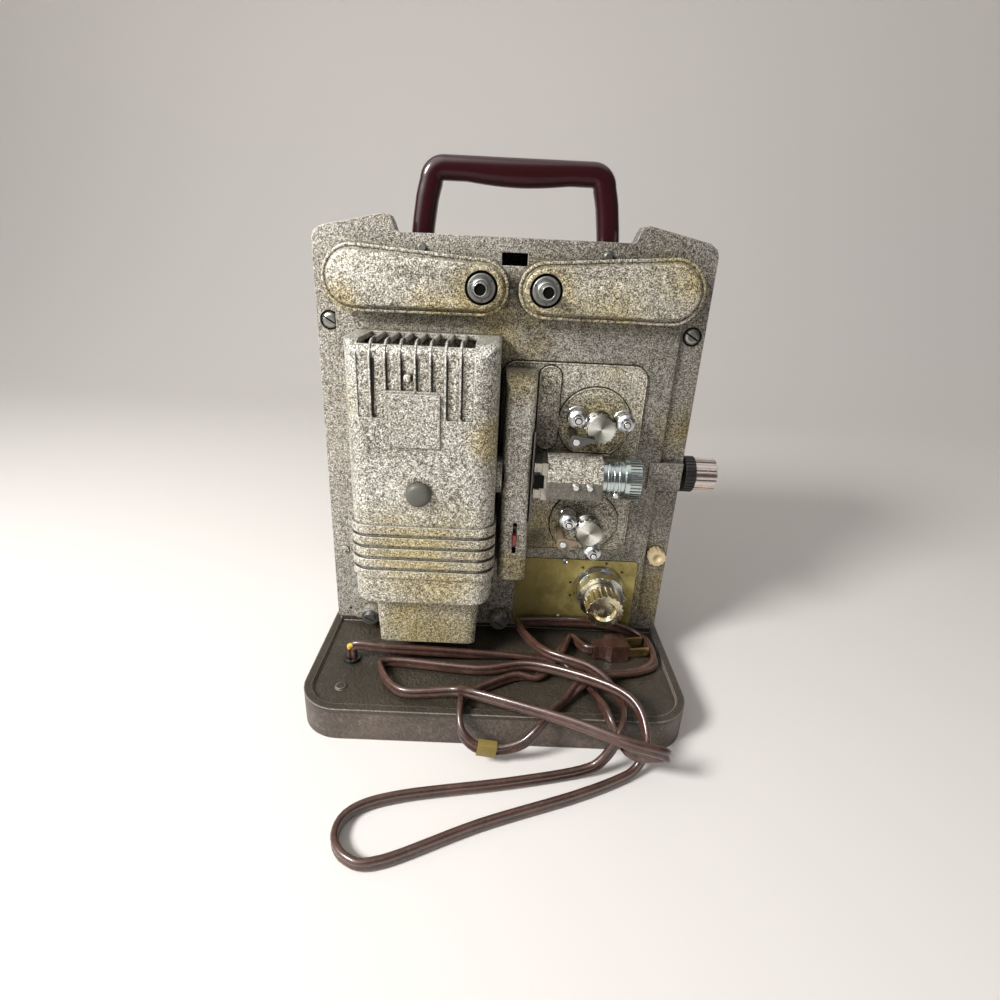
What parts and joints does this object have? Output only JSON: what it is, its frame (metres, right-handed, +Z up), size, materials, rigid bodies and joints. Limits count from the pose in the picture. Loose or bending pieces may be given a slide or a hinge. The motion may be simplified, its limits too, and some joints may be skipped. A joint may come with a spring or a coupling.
{
  "type": "film projector",
  "caption": "Portable film projector: cast front with folding reel arms, ribbed lamp house, sprockets, lens, selector knob, carrying handle and flat twin cord with plug.",
  "frame": {"origin": "centre of the flat underside of the base tray", "axes": "+X to the right across the control face, +Y to the rear, +Z up"},
  "size_m": [0.277, 0.286, 0.349],
  "materials": {
    "hammer_paint": "hammered enamel, beige flecks over dark brown",
    "base_paint": "wrinkled dark brown enamel, worn at the edges",
    "chrome": "polished chrome plate",
    "steel": "turned steel",
    "dark_steel": "blackened steel",
    "gold_plate": "gold lacquered sheet",
    "brass": "dull brass",
    "handle_plastic": "glossy maroon moulding",
    "black_plastic": "dark moulding",
    "red_plastic": "red moulding",
    "amber_plastic": "amber moulding",
    "ivory_plastic": "aged ivory moulding",
    "latch_paint": "grey green enamel",
    "glass": "clear",
    "fibre": "laminated fibre",
    "aluminium": "cast",
    "cord_rubber": "brown moulded rubber",
    "tape": "aged yellow tape"
  },
  "bodies": {
    "chassis": {"base_tray": "base_paint", "bottom_cover": "base_paint", "base_screws": "steel", "cord_grommet": "black_plastic", "front_frame": "hammer_paint", "frame_lugs": "hammer_paint", "sprocket_plate": "hammer_paint", "control_plate": "gold_plate", "frame_screws": "dark_steel", "rear_housing": "hammer_paint", "rear_screws": "steel", "handle": "handle_plastic", "handle_screws": "steel", "lamp_house": "hammer_paint", "lamp": "glass", "lamp_socket": "black_plastic", "reflector": "aluminium", "condenser_lenses": "glass", "gate_housing": "hammer_paint", "aperture_plate": "chrome", "roller_studs": "chrome", "selector_switch": "fibre", "motor": "dark_steel", "drive_belt": "cord_rubber", "cord": "cord_rubber", "cord_tape": "tape", "plug": "black_plastic", "plug_prongs": "brass"},
    "left_arm": {"left_arm": "hammer_paint"},
    "right_arm": {"right_arm": "hammer_paint"},
    "left_reel_drive": {"left_spindle": "chrome"},
    "right_reel_drive": {"right_spindle": "chrome"},
    "main_drive": {"inching_knob": "chrome", "inching_disc": "black_plastic", "main_shaft": "steel", "shutter": "dark_steel"},
    "worm_drive": {"worm_shaft": "steel"},
    "feed_sprocket": {"upper_sprocket": "chrome", "upper_gear": "fibre"},
    "takeup_sprocket": {"lower_sprocket": "chrome", "lower_gear": "fibre"},
    "motor_rotor": {"motor_pulley": "steel", "blower_fan": "aluminium"},
    "roller_a": {"upper_left_roller": "chrome"},
    "roller_b": {"upper_right_roller": "chrome"},
    "roller_c": {"lower_left_roller": "chrome"},
    "roller_d": {"lower_right_roller": "chrome"},
    "upper_lever": {"upper_film_lever": "dark_steel"},
    "lower_lever": {"lower_film_lever": "amber_plastic"},
    "lens_carriage": {"lens_holder": "hammer_paint", "lens_screws": "chrome", "gate_shoe": "chrome"},
    "lens": {"lens_barrel": "chrome", "lens_glass": "glass"},
    "focus_control": {"focus_ring": "chrome"},
    "framing_control": {"framing_lever": "red_plastic"},
    "selector": {"selector_collar": "chrome"},
    "speed_control": {"speed_knob": "chrome"},
    "side_control": {"side_knob": "ivory_plastic"},
    "lamp_house_catch": {"lamp_house_latch": "latch_paint"}
  },
  "joints": [
    {"name": "left_arm_swing", "type": "hinge", "parent": "chassis", "child": "left_arm", "pos_m": [-0.0973, 0, 0.2773], "axis": [0, -1, 0], "range_deg": [0, 135]},
    {"name": "right_arm_swing", "type": "hinge", "parent": "chassis", "child": "right_arm", "pos_m": [0.0973, 0, 0.2773], "axis": [0, 1, 0], "range_deg": [0, 135]},
    {"name": "left_reel_turn", "type": "hinge", "parent": "left_arm", "child": "left_reel_drive", "pos_m": [-0.01964, -0.02, 0.2748], "axis": [0, 1, 0], "continuous": true},
    {"name": "right_reel_turn", "type": "hinge", "parent": "right_arm", "child": "right_reel_drive", "pos_m": [0.01964, -0.02, 0.2748], "axis": [0, 1, 0], "continuous": true},
    {"name": "main_shaft_turn", "type": "hinge", "parent": "chassis", "child": "main_drive", "pos_m": [0, 0.0057, 0.1555], "axis": [1, 0, 0], "continuous": true},
    {"name": "worm_shaft_turn", "type": "hinge", "parent": "chassis", "child": "worm_drive", "pos_m": [0.079, 0.0145, 0.1595], "axis": [0, 0, 1], "continuous": true},
    {"name": "upper_sprocket_turn", "type": "hinge", "parent": "chassis", "child": "feed_sprocket", "pos_m": [0.06, 0, 0.194], "axis": [0, 1, 0], "continuous": true},
    {"name": "lower_sprocket_turn", "type": "hinge", "parent": "chassis", "child": "takeup_sprocket", "pos_m": [0.06, 0, 0.12], "axis": [0, 1, 0], "continuous": true},
    {"name": "motor_turn", "type": "hinge", "parent": "chassis", "child": "motor_rotor", "pos_m": [0, 0.056, 0.0967], "axis": [1, 0, 0], "continuous": true},
    {"name": "upper_left_roller_turn", "type": "hinge", "parent": "chassis", "child": "roller_a", "pos_m": [0.04478, -0.021, 0.19954], "axis": [0, 1, 0], "continuous": true},
    {"name": "upper_right_roller_turn", "type": "hinge", "parent": "chassis", "child": "roller_b", "pos_m": [0.07565, -0.021, 0.19819], "axis": [0, 1, 0], "continuous": true},
    {"name": "lower_left_roller_turn", "type": "hinge", "parent": "chassis", "child": "roller_c", "pos_m": [0.04532, -0.021, 0.12685], "axis": [0, 1, 0], "continuous": true},
    {"name": "lower_right_roller_turn", "type": "hinge", "parent": "chassis", "child": "roller_d", "pos_m": [0.06419, -0.021, 0.10435], "axis": [0, 1, 0], "continuous": true},
    {"name": "upper_film_lever_swing", "type": "hinge", "parent": "chassis", "child": "upper_lever", "pos_m": [0.0445, -0.02, 0.186], "axis": [0, 1, 0], "range_deg": [0, 60]},
    {"name": "lower_film_lever_swing", "type": "hinge", "parent": "chassis", "child": "lower_lever", "pos_m": [0.0423, -0.02, 0.1128], "axis": [0, 1, 0], "range_deg": [0, 60]},
    {"name": "gate_open", "type": "slide", "parent": "chassis", "child": "lens_carriage", "axis": [1, 0, 0], "range_m": [0, 0.005]},
    {"name": "focus_turn", "type": "hinge", "parent": "lens_carriage", "child": "focus_control", "pos_m": [0.084, -0.022, 0.1595], "axis": [1, 0, 0], "range_deg": [-140, 140]},
    {"name": "lens_travel", "type": "slide", "parent": "lens_carriage", "child": "lens", "axis": [1, 0, 0], "range_m": [-0.0026, 0.0026]},
    {"name": "framing_slide", "type": "slide", "parent": "chassis", "child": "framing_control", "axis": [0, 0, 1], "range_m": [-0.0052, 0.0052]},
    {"name": "selector_turn", "type": "hinge", "parent": "chassis", "child": "selector", "pos_m": [0.0763, -0.01, 0.0627], "axis": [0, -1, 0], "range_deg": [-128, 30]},
    {"name": "speed_turn", "type": "hinge", "parent": "chassis", "child": "speed_control", "pos_m": [0.0763, -0.03, 0.0627], "axis": [0, -1, 0], "range_deg": [0, 270]},
    {"name": "side_knob_turn", "type": "hinge", "parent": "chassis", "child": "side_control", "pos_m": [0.1161, -0.005, 0.0932], "axis": [0, -1, 0], "range_deg": [-150, 150]},
    {"name": "lamp_house_catch_turn", "type": "hinge", "parent": "chassis", "child": "lamp_house_catch", "pos_m": [-0.053, -0.058, 0.15533], "axis": [0, -1, 0], "continuous": true}
  ],
  "couplings": [
    {"joint": "worm_shaft_turn", "follows": "main_shaft_turn", "ratio": 1.25},
    {"joint": "upper_sprocket_turn", "follows": "main_shaft_turn", "ratio": 0.0625},
    {"joint": "lower_sprocket_turn", "follows": "main_shaft_turn", "ratio": 0.0625},
    {"joint": "motor_turn", "follows": "main_shaft_turn", "ratio": 1},
    {"joint": "lens_travel", "follows": "focus_turn", "m_per_rad": 0.00102}
  ]
}
